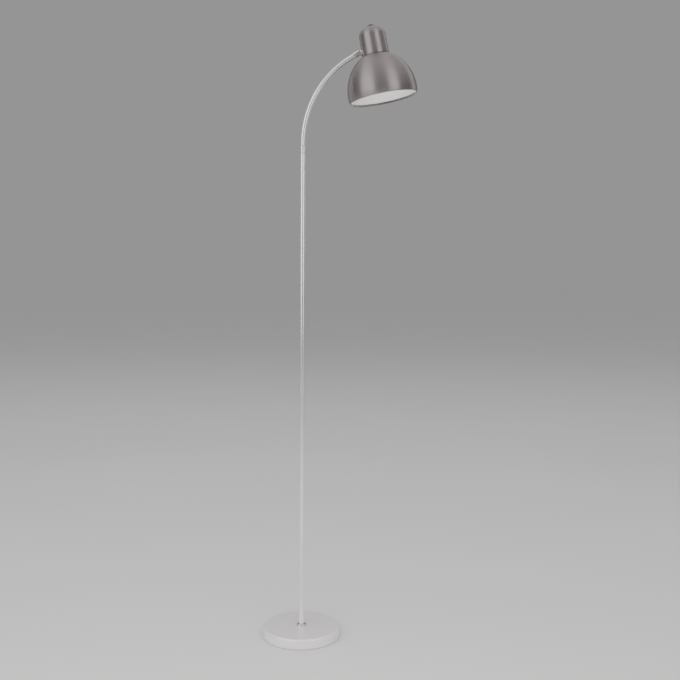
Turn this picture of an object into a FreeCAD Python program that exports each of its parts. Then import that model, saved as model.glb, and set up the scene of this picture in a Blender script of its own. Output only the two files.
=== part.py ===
import FreeCAD, Part

import math
import os

V = FreeCAD.Vector

# Floor reading lamp with a bent arm and a bell shade. Millimetres, +Z up.
# The origin is on the floor under the pole; the arm leans out towards +X and
# the mains lead enters the base at the rear, on +Y.

# ---------------------------------------------------------------- clearances
running_fit = 0.05          # radial, a shaft that turns in its bore
seated_fit = 0.05           # radial, a fixed piece in its hole
thread_fit = 0.03           # radial, a plain cylinder that stands for a thread
swivel_gap = 0.05           # between faces that turn on each other
knuckle_gap = 0.2           # between the arm's end and the knuckle
shadow_gap = 0.4            # under the cap's lower edge

# ---------------------------------------------------------------------- base
base_diameter = 200.0
base_height = 25.0          # top of the cover above the floor
cover_wall = 1.2
cover_edge_radius = 5.0
cover_lift = 1.0            # the cover's lower edge above the floor
pad_margin = 4.0            # the foot pad's edge inside the cover's wall
pad_thickness = 2.0
plate_thickness = 1.5
plate_margin = 0.4
weight_margin = 4.8         # the weight's edge inside the cover's wall
weight_lift = 2.5           # height of the bosses under the weight
weight_chamfer = 2.0
recess_radius = 26.0
clamp_web = 3.3             # iron left over the recess, under the cover
channel_width = 30.0
channel_roof = 7.0          # from the weight's underside up
boss_radius = 7.0
plate_screw_circle = 70.0
plate_screw_count = 3
plate_screw_start = 30.0    # degrees from +X, clear of the rear channel
plate_screw_radius = 2.0
plate_screw_length = 10.0
screw_head_radius = 3.6
screw_head_height = 1.6
screw_slot_width = 0.9
pad_hole_margin = 1.0

# ------------------------------------------------------------ hollow fixings
nipple_radius = 4.95
nipple_bore_radius = 3.5
nipple_tail = 0.6           # past its nut
base_nut_flats = 14.0
base_nut_height = 4.0
base_washer_radius = 12.0
base_washer_thickness = 1.5
terminal_size = (18.0, 20.0)
terminal_distance = 54.0    # behind the pole
terminal_floor_gap = 0.1
terminal_screw_radius = 1.5
terminal_screw_grip = 6.0
terminal_screw_head = 2.6
core_hole_radius = 1.3
core_hole_depth = 8.0

# -------------------------------------------------------------- cord's inlet
inlet_bore_radius = 3.25
inlet_wall = 1.4
inlet_outer_flange = 1.9    # beyond the gland's body, outside the cover
inlet_inner_flange = 1.0
inlet_flange_thickness = 2.4
inlet_tail = 2.6
inlet_plate_gap = 0.3       # over the bottom plate

# ---------------------------------------------------------------------- pole
pole_diameter = 14.0
pole_wall = 1.2
pole_length = 1220.0
ferrule_diameter = 25.0
ferrule_height = 4.6
ferrule_floor = 1.5         # under the pole's end
ferrule_crown_radius = 3.0
foot_bush_length = 15.0

# -------------------------------------------------------------------- collar
collar_height = 20.0
collar_top_diameter = 15.2
collar_tail_length = 18.0
collar_seam = 0.6           # shadow groove between pole and collar
collar_seam_depth = 0.8
collar_floor = 3.0          # under the swivel spigot
collar_chamfer = 0.5
grub_radius = 2.0
grub_drop = 4.2             # below the collar's top
grub_sink = 0.3
grub_socket_depth = 1.0
grub_tip_radius = 1.2
swivel_limit = 150.0        # degrees each way
swivel_washer_thickness = 0.8
swivel_washer_inset = 0.3

# ----------------------------------------------------------------------- arm
arm_diameter = 12.5
arm_wall = 1.0
arm_foot_length = 6.0
arm_bend_radius = 252.0
arm_bend_angle = 58.5
arm_end_length = 8.0
spigot_radius = 5.0
spigot_end_gap = 0.5
groove_depth = 1.4
groove_slack = 0.2

# ------------------------------------------------------------------- knuckle
knuckle_radius = 7.5
knuckle_edge = 0.8
knuckle_reach = 13.0        # from the tilt pin back to the arm's end
turn_spigot_radius = 4.5
turn_spigot_length = 5.9
turn_grub_radius = 1.5
turn_grub_inset = 2.8       # from the barrel's end
turn_grub_tip_radius = 0.9
turn_limit = 90.0           # degrees each way
knuckle_slot_gap = 0.4
fork_slot = 8.6
fork_flats = 14.0
fork_end_radius = 6.2
tongue_end_radius = 5.6
tongue_gap = 0.1
tongue_thickness = 1.9
tilt_pin_radius = 2.0
tilt_pin_head_radius = 3.0
tilt_pin_head_height = 0.8
stud_radius = 4.0
stud_bore_radius = 2.2
stud_flange_radius = 7.6
stud_flange_thickness = 2.0
stud_flange_gap = 0.5       # between the fork's end and the flange
stud_nut_flats = 12.0
stud_nut_height = 3.0
stud_end_gap = 0.3          # past the nut
stud_washer_radius = 6.5

# ----------------------------------------------------------- head and shade
head_tilt = 10.8            # degrees, the cap leans back over the arm
pivot_rise = 12.5           # tilt pin above the cap's lower edge, along its axis
shade_radius = 88.6
shade_waist = 15.5          # height of the widest place above the rim
shade_rise = 103.0          # half ellipse above the widest place
shade_lip_draw = 2.8        # the rim inside the widest place
shade_wall = 1.0
shade_seat_radius = 30.0    # flat top of the dome, inside the cap
hem_height = 6.0
hem_wall = 0.9
cap_radius = 35.0           # at its foot
cap_draw = 1.4              # how much narrower it is where the crown begins
cap_wall = 1.0
cap_height = 49.5
cap_crown = 24.5
cap_flat_radius = 12.2      # flat place for the switch

# --------------------------------------------------------------- lampholder
holder_radius = 20.0
holder_wall = 3.0
holder_drop = 16.0          # the skirt below the shade's flat top
holder_skirt_height = 34.0
holder_flange_radius = 26.0
holder_flange_thickness = 3.0
holder_cap_radius = 20.4
holder_cap_wall = 2.0
holder_cap_neck_radius = 7.4
holder_cap_neck_height = 5.5
holder_shoulder_radius = 12.0
shade_ring_radius = 27.0
shade_ring_height = 4.5
shade_ring_notches = 12
shade_ring_notch_radius = 1.6
screw_shell_radius = 13.3   # inside wall, the bulb's thread
screw_shell_wall = 0.4
screw_shell_length = 25.0
screw_shell_inset = 2.5     # above the skirt's lower edge
contact_block_height = 9.0
contact_recess_radius = 11.0
contact_recess_depth = 3.4
contact_width = 5.0
contact_reach = 9.0
contact_thickness = 0.6
contact_end_gap = 0.4       # above the end of the bulb's thread

# ------------------------------------------------------------------- bracket
bracket_width = 16.0
bracket_thickness = 1.5
bracket_inner_bend = 0.8
bracket_wall_gap = 0.15
bracket_foot = 8.0          # below the stud
holder_nipple_length = 14.0
holder_nut_height = 3.5

# -------------------------------------------------------------------- switch
switch_barrel_radius = 8.0
switch_body_radius = 10.0
switch_body_height = 13.0
switch_room = 1.1           # over the lampholder's nipple
switch_bezel_radius = 11.6
switch_bezel_height = 1.8
switch_well_radius = 6.6
button_proud = 2.7          # above the bezel
button_height = 6.0
button_edge_radius = 1.2
button_stem_radius = 2.5
button_stem_length = 5.5
button_travel = 2.5
button_stop_gap = 0.1
switch_wire_radius = 0.9
switch_wire_circle = 9.3
switch_wire_angle = 26.0
switch_wire_tail = 6.0

# --------------------------------------------------------------- inner leads
lead_radius = 1.8
lead_bore_radius = 2.5
lead_floor_gap = 0.4
lead_joint_gap = 0.3
lead_pivot_gap = 0.6        # each lead stops short of the tilt pin
lead_side_gap = 0.4
lead_entry_drop = 5.0       # side hole in the holder's cap, below its shoulder
lead_entry_bend = 6.0
lead_hole_margin = 0.3
lead_grip = 5.0             # into the terminal block
lead_tail = 8.0             # last run, inside the lampholder

# ------------------------------------------------------------ derived places
cover_inner_radius = base_diameter / 2 - cover_wall
cover_roof = base_height - cover_wall
plate_top = pad_thickness + plate_thickness
weight_foot = plate_top + weight_lift
weight_radius = cover_inner_radius - weight_margin
recess_roof = cover_roof - clamp_web
channel_top = weight_foot + channel_roof
inlet_height = plate_top + inlet_plate_gap + inlet_bore_radius + inlet_wall + inlet_inner_flange
washer_foot = recess_roof - base_washer_thickness
base_nut_foot = washer_foot - base_nut_height
nipple_foot = base_nut_foot - nipple_tail

pole_radius = pole_diameter / 2
pole_bore_radius = pole_radius - pole_wall
pole_foot = base_height + ferrule_floor
pole_top = pole_foot + pole_length
foot_bush_foot = pole_foot
foot_bush_top = foot_bush_foot + foot_bush_length
nipple_top = foot_bush_top + 1.0

collar_top = pole_top + collar_height
spigot_floor = pole_top + collar_floor
grub_height = collar_top - grub_drop
arm_radius = arm_diameter / 2
arm_bore_radius = arm_radius - arm_wall
arm_foot = collar_top + swivel_washer_thickness + swivel_gap
bend_foot = arm_foot + arm_foot_length

arm_direction = V(math.sin(math.radians(arm_bend_angle)), 0, math.cos(math.radians(arm_bend_angle)))
bend_end = V(
    arm_bend_radius * (1 - math.cos(math.radians(arm_bend_angle))),
    0,
    bend_foot + arm_bend_radius * math.sin(math.radians(arm_bend_angle)),
)
arm_end = bend_end + arm_direction * arm_end_length
pivot = arm_end + arm_direction * (knuckle_reach + knuckle_gap)

turn_grub_place = turn_grub_inset - knuckle_reach
stud_flange_start = fork_end_radius + stud_flange_gap
stud_flange_end = stud_flange_start + stud_flange_thickness

shade_top = shade_waist + shade_rise * math.sqrt(1 - (shade_seat_radius / shade_radius) ** 2)
cap_seat_share = (cap_radius - cap_wall) / shade_radius
cap_foot = shade_waist + shade_rise * math.sqrt(1 - cap_seat_share ** 2) + shadow_gap
cap_shoulder = cap_foot + cap_height
cap_top_radius = cap_radius - cap_draw
cap_flat = cap_shoulder + cap_crown * math.sqrt(1 - (cap_flat_radius / cap_top_radius) ** 2)
pivot_height = cap_foot + pivot_rise
pivot_reach = cap_radius - cap_draw * pivot_rise / cap_height + stud_flange_end

switch_top = cap_flat - cap_wall
switch_foot = switch_top - switch_body_height
skirt_foot = shade_top - holder_drop
skirt_top = skirt_foot + holder_skirt_height
shell_foot = skirt_foot + screw_shell_inset
shell_top = shell_foot + screw_shell_length
bracket_top = switch_foot - switch_room - nipple_tail - holder_nut_height
holder_top = bracket_top - bracket_thickness
holder_shoulder = holder_top - holder_cap_neck_height
crown_share = max(bracket_top - cap_shoulder, 0) / (cap_crown - cap_wall)
bracket_room = (cap_top_radius - cap_wall) * math.sqrt(1 - crown_share ** 2) - bracket_wall_gap
bracket_face = math.sqrt(bracket_room ** 2 - (bracket_width / 2) ** 2)
bracket_inner_face = bracket_face - bracket_thickness
stud_end = bracket_inner_face - stud_nut_height - stud_end_gap

bezel_top = cap_flat + switch_bezel_height
button_top = bezel_top + button_proud
button_foot = button_top - button_height
well_floor = button_foot - button_travel - button_stop_gap

lead_floor = plate_top + lead_radius + lead_floor_gap
lead_side = holder_cap_radius + lead_radius + lead_side_gap
lead_entry = holder_shoulder - lead_entry_drop


# ------------------------------------------------------------ shape builders
def ring(outer_radius, bore_radius, foot, top):
    """A plain turned ring or disc on the Z axis."""
    solid = Part.makeCylinder(outer_radius, top - foot, V(0, 0, foot))
    if bore_radius > 0:
        solid = solid.cut(Part.makeCylinder(bore_radius, top - foot, V(0, 0, foot)))
    return solid


def line(start, end):
    return Part.LineSegment(V(start[0], 0, start[1]), V(end[0], 0, end[1])).toShape()


def arc(start, centre, end):
    """The shorter arc from start to end about a centre, in the XZ plane."""
    radius = math.hypot(start[0] - centre[0], start[1] - centre[1])
    bulge_x = (start[0] + end[0]) / 2 - centre[0]
    bulge_z = (start[1] + end[1]) / 2 - centre[1]
    scale = radius / math.hypot(bulge_x, bulge_z)
    middle = V(centre[0] + bulge_x * scale, 0, centre[1] + bulge_z * scale)
    return Part.Arc(V(start[0], 0, start[1]), middle, V(end[0], 0, end[1])).toShape()


def arc_through(start, middle, end):
    places = [V(x, 0, z) for x, z in (start, middle, end)]
    return Part.Arc(*places).toShape()


def ellipse_arc(half_width, half_height, centre_height, near_radius):
    """A quarter of an ellipse about the Z axis, from its waist in to near_radius."""
    foot = V(half_width, 0, centre_height)
    end_angle = math.acos(near_radius / half_width)
    middle_angle = end_angle / 2

    def at(angle):
        return V(half_width * math.cos(angle), 0, centre_height + half_height * math.sin(angle))

    if half_height >= half_width:
        ellipse = Part.Ellipse(V(0, 0, centre_height + half_height), foot, V(0, 0, centre_height))
    else:
        ellipse = Part.Ellipse(foot, V(0, 0, centre_height + half_height), V(0, 0, centre_height))
    ends = sorted([ellipse.parameter(foot), ellipse.parameter(at(end_angle))])
    inside = ellipse.parameter(at(middle_angle))
    if not ends[0] < inside < ends[1]:
        ends = [ends[1], ends[0] + 2 * math.pi]
    return Part.ArcOfEllipse(ellipse, ends[0], ends[1]).toShape()


def turned(edges):
    """Revolve a closed outline in the XZ plane about the Z axis."""
    outline = Part.Wire(Part.__sortEdges__(edges))
    return Part.Face(outline).revolve(V(0, 0, 0), V(0, 0, 1), 360)


def turned_polygon(points):
    closed = points + points[:1]
    return turned([line(a, b) for a, b in zip(closed, closed[1:])])


def hexagon(flats, foot, top):
    corner = flats / math.sqrt(3)
    points = [corner_place + V(0, 0, foot) for corner_place in around(6, corner, 0)]
    return Part.Face(Part.makePolygon(points + points[:1])).extrude(V(0, 0, top - foot))


def hexagon_nut(flats, bore_radius, foot, top):
    return hexagon(flats, foot, top).cut(ring(bore_radius, 0, foot, top))


def swept(path_edges, radius):
    """A round rod along a path of straight runs and tangent arcs."""
    path = Part.Wire(path_edges)
    start = path_edges[0].Vertexes[0].Point
    direction = path_edges[0].tangentAt(path_edges[0].FirstParameter)
    section = Part.Wire(Part.Circle(start, direction, radius).toShape())
    return path.makePipeShell([section], True, False)


def placed(shape, position, angle):
    """Turn a piece about +Y by an angle in degrees, then carry it to its place."""
    moved = shape.copy()
    turn = FreeCAD.Rotation(V(0, 1, 0), angle)
    moved.Placement = FreeCAD.Placement(position, turn).multiply(moved.Placement)
    return moved


def across(shape, position, direction):
    """Lay a piece made along +Z down another direction."""
    moved = shape.copy()
    turn = FreeCAD.Rotation(V(0, 0, 1), direction)
    moved.Placement = FreeCAD.Placement(position, turn).multiply(moved.Placement)
    return moved


def in_knuckle(shape):
    """Knuckle pieces are made with the tilt pin at the origin and the arm along -Z."""
    return placed(shape, pivot, arm_bend_angle)


def on_stud(shape):
    """Stud pieces are made with the tilt pin at the origin and the cap along +Z."""
    return placed(shape, pivot, 90 - head_tilt)


def in_head(shape):
    """Head pieces are made about +Z with the shade's rim at the origin."""
    turn = FreeCAD.Rotation(V(0, 1, 0), -head_tilt)
    origin = pivot - turn.multVec(V(-pivot_reach, 0, pivot_height))
    return placed(shape, origin, -head_tilt)


def around(count, radius, first_angle):
    """Places evenly spaced on a circle."""
    angles = [math.radians(first_angle + 360 * i / count) for i in range(count)]
    return [V(radius * math.cos(a), radius * math.sin(a), 0) for a in angles]


def slotted_screw(head_radius, head_height, shank_radius, length):
    """A slotted pan head screw, its head below the origin and its shank up +Z."""
    head = ring(head_radius, 0, -head_height, 0)
    head = head.makeFillet(head_height * 0.45, [head.Edges[2]])
    slot = Part.makeBox(2 * head_radius, screw_slot_width, head_height / 2)
    slot.translate(V(-head_radius, -screw_slot_width / 2, -head_height))
    return head.cut(slot).fuse(ring(shank_radius, 0, 0, length)).removeSplitter()


def grub_screw(radius, outer, inner, tip_radius, tip_end):
    """A socket grub screw on +Z, its tip towards the origin."""
    screw = ring(radius, 0, inner, outer).fuse(ring(tip_radius, 0, tip_end, inner))
    return screw.cut(hexagon(radius, outer - grub_socket_depth, outer)).removeSplitter()


def stop_groove(radius, foot, top, tip_radius, limit, tip_angle):
    """The ring that a spigot loses to its groove: open but for the stop opposite the tip."""
    root = radius - groove_depth
    groove = ring(radius + 1, root, foot, top)
    stop_half = 180 - limit - math.degrees(math.asin(tip_radius / root)) - 1
    wedge = [
        V(0, 0, foot),
        V(radius * 3, -radius * 3 * math.tan(math.radians(stop_half)), foot),
        V(radius * 3, radius * 3 * math.tan(math.radians(stop_half)), foot),
        V(0, 0, foot),
    ]
    stop = Part.Face(Part.makePolygon(wedge)).extrude(V(0, 0, top - foot))
    stop.rotate(V(0, 0, 0), V(0, 0, 1), tip_angle + 180)
    return groove.cut(stop)


# --------------------------------------------------------------------- base
def foot_pad():
    pad = ring(cover_inner_radius - pad_margin, 0, 0, pad_thickness)
    for place in around(plate_screw_count, plate_screw_circle, plate_screw_start):
        hole = ring(screw_head_radius + pad_hole_margin, 0, 0, pad_thickness)
        hole.translate(place)
        pad = pad.cut(hole)
    return pad


def bottom_plate():
    plate = ring(cover_inner_radius - plate_margin, 0, pad_thickness, plate_top)
    for place in around(plate_screw_count, plate_screw_circle, plate_screw_start):
        hole = ring(plate_screw_radius + seated_fit, 0, pad_thickness, plate_top)
        hole.translate(place)
        plate = plate.cut(hole)
    return plate


def plate_screws():
    screws = []
    for place in around(plate_screw_count, plate_screw_circle, plate_screw_start):
        screw = slotted_screw(screw_head_radius, screw_head_height, plate_screw_radius, plate_screw_length)
        screw.translate(place + V(0, 0, pad_thickness))
        screws.append(screw)
    return Part.makeCompound(screws)


def base_cover():
    rim = base_diameter / 2
    edge = rim - cover_edge_radius
    edge_height = base_height - cover_edge_radius
    hole = nipple_radius + seated_fit
    cover = turned([
        line((hole, base_height), (edge, base_height)),
        arc((edge, base_height), (edge, edge_height), (rim, edge_height)),
        line((rim, edge_height), (rim, cover_lift)),
        line((rim, cover_lift), (cover_inner_radius, cover_lift)),
        line((cover_inner_radius, cover_lift), (cover_inner_radius, edge_height)),
        arc((cover_inner_radius, edge_height), (edge, edge_height), (edge, cover_roof)),
        line((edge, cover_roof), (hole, cover_roof)),
        line((hole, cover_roof), (hole, base_height)),
    ])
    gland_hole = ring(inlet_bore_radius + inlet_wall + seated_fit, 0, weight_radius, rim + 1)
    return cover.cut(across(gland_hole, V(0, 0, inlet_height), V(0, 1, 0)))


def base_weight():
    hole = nipple_radius + seated_fit
    weight = turned_polygon([
        (hole, recess_roof),
        (hole, cover_roof),
        (weight_radius - weight_chamfer, cover_roof),
        (weight_radius, cover_roof - weight_chamfer),
        (weight_radius, weight_foot),
        (recess_radius, weight_foot),
        (recess_radius, recess_roof),
    ])
    channel = Part.makeBox(channel_width, weight_radius + 1, channel_top - weight_foot)
    channel.translate(V(-channel_width / 2, 0, weight_foot))
    weight = weight.cut(channel)
    for place in around(plate_screw_count, plate_screw_circle, plate_screw_start):
        boss = ring(boss_radius, 0, plate_top, weight_foot + 1)
        boss.translate(place)
        tapped = ring(plate_screw_radius + thread_fit, 0, plate_top, pad_thickness + plate_screw_length + 1)
        tapped.translate(place)
        weight = weight.fuse(boss).cut(tapped)
    tapped = ring(terminal_screw_radius + thread_fit, 0, channel_top, channel_top + terminal_screw_grip)
    tapped.translate(V(0, terminal_distance, 0))
    return weight.cut(tapped).removeSplitter()


def terminal_block():
    width, length = terminal_size
    foot = plate_top + terminal_floor_gap
    front = terminal_distance - length / 2
    block = Part.makeBox(width, length, channel_top - foot, V(-width / 2, front, foot))
    block = block.makeFillet(0.8, [e for e in block.Edges if abs(e.tangentAt(0).z) > 0.9])
    entry = ring(lead_radius + lead_hole_margin, 0, front, front + lead_grip + lead_joint_gap)
    block = block.cut(across(entry, V(0, 0, lead_floor), V(0, 1, 0)))
    for side in (-1, 1):
        core = ring(core_hole_radius, 0, front + length - core_hole_depth, front + length)
        block = block.cut(across(core, V(side * width / 4, 0, inlet_height), V(0, 1, 0)))
    screw_hole = ring(terminal_screw_radius + seated_fit, 0, foot, channel_top)
    head_seat = ring(terminal_screw_head + seated_fit, 0, foot, foot + 2 * screw_head_height)
    for hole in (screw_hole, head_seat):
        hole.translate(V(0, terminal_distance, 0))
        block = block.cut(hole)
    return block


def terminal_screw():
    seat = plate_top + terminal_floor_gap + 2 * screw_head_height
    reach = channel_top + terminal_screw_grip - 1 - seat
    screw = slotted_screw(terminal_screw_head, screw_head_height, terminal_screw_radius, reach)
    screw.translate(V(0, terminal_distance, seat))
    return screw


def base_washer():
    return ring(base_washer_radius, nipple_radius + seated_fit, washer_foot, recess_roof)


def base_nut():
    return hexagon_nut(base_nut_flats, nipple_radius + thread_fit, base_nut_foot, washer_foot)


def base_nipple():
    return ring(nipple_radius, nipple_bore_radius, nipple_foot, nipple_top)


def base_ferrule():
    rim = ferrule_diameter / 2
    shoulder = rim - ferrule_crown_radius
    top = base_height + ferrule_height
    socket = pole_radius + seated_fit
    hole = nipple_radius + seated_fit
    return turned([
        line((hole, base_height), (rim, base_height)),
        line((rim, base_height), (rim, top - ferrule_crown_radius)),
        arc((rim, top - ferrule_crown_radius), (shoulder, top - ferrule_crown_radius), (shoulder, top)),
        line((shoulder, top), (socket, top)),
        line((socket, top), (socket, pole_foot)),
        line((socket, pole_foot), (hole, pole_foot)),
        line((hole, pole_foot), (hole, base_height)),
    ])


def cord_gland():
    body = inlet_bore_radius + inlet_wall
    rim = base_diameter / 2
    tail = cover_inner_radius - inlet_tail
    gland = turned_polygon([
        (inlet_bore_radius, tail),
        (body + inlet_inner_flange, tail),
        (body, cover_inner_radius - inlet_inner_flange),
        (body, rim),
        (body + inlet_outer_flange, rim),
        (body + inlet_outer_flange, rim + inlet_flange_thickness / 2),
        (body + inlet_outer_flange / 2, rim + inlet_flange_thickness),
        (inlet_bore_radius, rim + inlet_flange_thickness),
    ])
    return across(gland, V(0, 0, inlet_height), V(0, 1, 0))


# --------------------------------------------------------- pole and swivel
def pole_tube():
    return ring(pole_radius, pole_bore_radius, pole_foot, pole_top)


def pole_foot_bush():
    return ring(pole_bore_radius - seated_fit, nipple_radius + thread_fit, pole_foot, foot_bush_top)


def collar():
    tail = pole_bore_radius - seated_fit
    neck = pole_radius - collar_seam_depth
    head = collar_top_diameter / 2
    bore = spigot_radius + running_fit
    body_foot = pole_top + collar_seam
    swell = (pole_radius * 0.3 + head * 0.7, (body_foot + grub_height) / 2)
    solid = turned([
        line((lead_bore_radius, pole_top - collar_tail_length), (tail, pole_top - collar_tail_length)),
        line((tail, pole_top - collar_tail_length), (tail, pole_top)),
        line((tail, pole_top), (neck, pole_top)),
        line((neck, pole_top), (neck, body_foot)),
        line((neck, body_foot), (pole_radius, body_foot)),
        arc_through((pole_radius, body_foot), swell, (head, grub_height)),
        line((head, grub_height), (head, collar_top - collar_chamfer)),
        line((head, collar_top - collar_chamfer), (head - collar_chamfer, collar_top)),
        line((head - collar_chamfer, collar_top), (bore, collar_top)),
        line((bore, collar_top), (bore, spigot_floor)),
        line((bore, spigot_floor), (lead_bore_radius, spigot_floor)),
        line((lead_bore_radius, spigot_floor), (lead_bore_radius, pole_top - collar_tail_length)),
    ])
    tapped = ring(grub_radius + thread_fit, 0, lead_bore_radius, head + 1)
    return solid.cut(across(tapped, V(0, 0, grub_height), V(0, -1, 0)))


def collar_grub_screw():
    outer = collar_top_diameter / 2 - grub_sink
    inner = spigot_radius + running_fit + groove_slack
    tip_end = spigot_radius - groove_depth + groove_slack
    screw = grub_screw(grub_radius, outer, inner, grub_tip_radius, tip_end)
    return across(screw, V(0, 0, grub_height), V(0, -1, 0))


def swivel_washer():
    rim = min(arm_radius, collar_top_diameter / 2 - collar_chamfer) - swivel_washer_inset
    return ring(rim, spigot_radius + running_fit, collar_top, collar_top + swivel_washer_thickness)


def inner_lead_stand():
    bend = nipple_foot - lead_floor
    end = terminal_distance - terminal_size[1] / 2 + lead_grip
    top = spigot_floor - lead_joint_gap / 2
    lead = swept([
        line((end, lead_floor), (bend, lead_floor)),
        arc((bend, lead_floor), (bend, nipple_foot), (0, nipple_foot)),
        line((0, nipple_foot), (0, top)),
    ], lead_radius)
    lead.rotate(V(0, 0, 0), V(0, 0, 1), 90)
    return lead


# ---------------------------------------------------------------------- arm
def arm_path(start_height, end_length):
    """The arm's centre line: a short riser, the bend and a straight end."""
    end = bend_end + arm_direction * end_length
    return [
        line((0, start_height), (0, bend_foot)),
        arc((0, bend_foot), (arm_bend_radius, bend_foot), (bend_end.x, bend_end.z)),
        line((bend_end.x, bend_end.z), (end.x, end.z)),
    ]


def arm_spigot():
    grip = ring(arm_bore_radius - seated_fit, lead_bore_radius, arm_foot, bend_foot)
    shaft = ring(spigot_radius, lead_bore_radius, spigot_floor + spigot_end_gap, arm_foot)
    groove_half = grub_tip_radius + groove_slack
    groove = stop_groove(
        spigot_radius, grub_height - groove_half, grub_height + groove_half,
        grub_tip_radius, swivel_limit, -90,
    )
    return grip.fuse(shaft).cut(groove).removeSplitter()


def arm_tube():
    outside = swept(arm_path(arm_foot, arm_end_length), arm_radius)
    inside = swept(arm_path(arm_foot, arm_end_length), arm_bore_radius)
    return outside.cut(inside)


def arm_end_bush():
    face = -(knuckle_reach + knuckle_gap)
    grip = ring(arm_bore_radius - seated_fit, lead_bore_radius, face - arm_end_length, face)
    shaft = ring(turn_spigot_radius, lead_bore_radius, face, face + turn_spigot_length)
    groove_half = turn_grub_tip_radius + groove_slack
    groove = stop_groove(
        turn_spigot_radius, turn_grub_place - groove_half, turn_grub_place + groove_half,
        turn_grub_tip_radius, turn_limit, 0,
    )
    return in_knuckle(grip.fuse(shaft).cut(groove).removeSplitter())


def inner_lead_arm():
    stop = lead_radius + lead_pivot_gap
    length = arm_end_length + knuckle_gap + knuckle_reach - stop
    lead = swept(arm_path(spigot_floor + lead_joint_gap / 2, length), lead_radius)
    end = pivot - arm_direction * stop
    return lead.fuse(Part.makeSphere(lead_radius, end)).removeSplitter()


# ------------------------------------------------------------------ knuckle
def rounded_bar(end_radius, start, low, high):
    """A flat bar that lies from low to high in Y, rounded about the pin and reaching to start."""
    disc = across(ring(end_radius, 0, low, high), V(0, 0, 0), V(0, 1, 0))
    foot = min(start, 0)
    tail = Part.makeBox(2 * end_radius, high - low, abs(start), V(-end_radius, low, foot))
    return disc.fuse(tail)


def knuckle_barrel():
    slot_floor = -(tongue_end_radius + knuckle_slot_gap)
    foot = -knuckle_reach
    barrel = turned_polygon([
        (0, foot),
        (knuckle_radius - knuckle_edge, foot),
        (knuckle_radius, foot + knuckle_edge),
        (knuckle_radius, slot_floor),
        (0, slot_floor),
    ])
    for low, high in ((-fork_flats / 2, -fork_slot / 2), (fork_slot / 2, fork_flats / 2)):
        ear = rounded_bar(fork_end_radius, slot_floor - 1, low, high)
        barrel = barrel.fuse(ear.common(ring(knuckle_radius, 0, slot_floor - 1, fork_end_radius)))
    turn_bore_end = -(knuckle_reach + knuckle_gap) + turn_spigot_length + knuckle_gap
    barrel = barrel.cut(ring(turn_spigot_radius + running_fit, 0, foot, turn_bore_end))
    barrel = barrel.cut(ring(lead_bore_radius, 0, foot, slot_floor))
    pin_hole = ring(tilt_pin_radius + seated_fit, 0, -fork_flats, fork_flats)
    barrel = barrel.cut(across(pin_hole, V(0, 0, 0), V(0, 1, 0)))
    tapped = ring(turn_grub_radius + thread_fit, 0, lead_bore_radius, knuckle_radius + 1)
    barrel = barrel.cut(across(tapped, V(0, 0, turn_grub_place), V(1, 0, 0)))
    return in_knuckle(barrel.removeSplitter())


def knuckle_pins():
    shank_foot = fork_slot / 2 - tongue_gap - tongue_thickness
    shank = ring(tilt_pin_radius, 0, shank_foot, fork_flats / 2)
    head = ring(tilt_pin_head_radius, 0, fork_flats / 2, fork_flats / 2 + tilt_pin_head_height)
    head = head.makeFillet(tilt_pin_head_height / 2, [head.Edges[0]])
    pin = shank.fuse(head).removeSplitter()
    pair = [across(pin, V(0, 0, 0), V(0, side, 0)) for side in (-1, 1)]
    return in_knuckle(Part.makeCompound(pair))


def knuckle_grub_screw():
    outer = knuckle_radius - grub_sink
    inner = turn_spigot_radius + running_fit + groove_slack
    tip_end = turn_spigot_radius - groove_depth + groove_slack
    screw = grub_screw(turn_grub_radius, outer, inner, turn_grub_tip_radius, tip_end)
    return in_knuckle(across(screw, V(0, 0, turn_grub_place), V(1, 0, 0)))


def cap_side(inset):
    """The cap's tapered side as a solid, drawn in by an inset, in the stud's frame."""
    side = Part.makeCone(cap_radius - inset, cap_top_radius - inset, cap_height, V(0, 0, cap_foot))
    return across(side, V(pivot_height, 0, pivot_reach), V(-1, 0, 0))


def knuckle_stud():
    outside = fork_slot / 2 - tongue_gap
    inside = outside - tongue_thickness
    stud = ring(stud_flange_radius, 0, stud_flange_start, stud_flange_end + stud_flange_radius / 2)
    stud = stud.cut(cap_side(-seated_fit))
    for low, high in ((-outside, -inside), (inside, outside)):
        stud = stud.fuse(rounded_bar(tongue_end_radius, stud_flange_start + 0.5, low, high))
    stud = stud.fuse(ring(stud_radius, 0, stud_flange_start, pivot_reach - stud_end))
    stud = stud.cut(ring(stud_bore_radius, 0, stud_flange_start, pivot_reach - stud_end))
    pin_hole = ring(tilt_pin_radius + running_fit, 0, -outside, outside)
    return on_stud(stud.cut(across(pin_hole, V(0, 0, 0), V(0, 1, 0))).removeSplitter())


def knuckle_washer():
    """Fills the room between the cap's curved wall and the flat bracket."""
    washer = ring(stud_washer_radius, stud_radius + seated_fit, stud_flange_end, pivot_reach - bracket_face)
    return on_stud(washer.common(cap_side(cap_wall + seated_fit)))


def knuckle_nut():
    foot = pivot_reach - bracket_inner_face
    return on_stud(hexagon_nut(stud_nut_flats, stud_radius + thread_fit, foot, foot + stud_nut_height))


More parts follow.
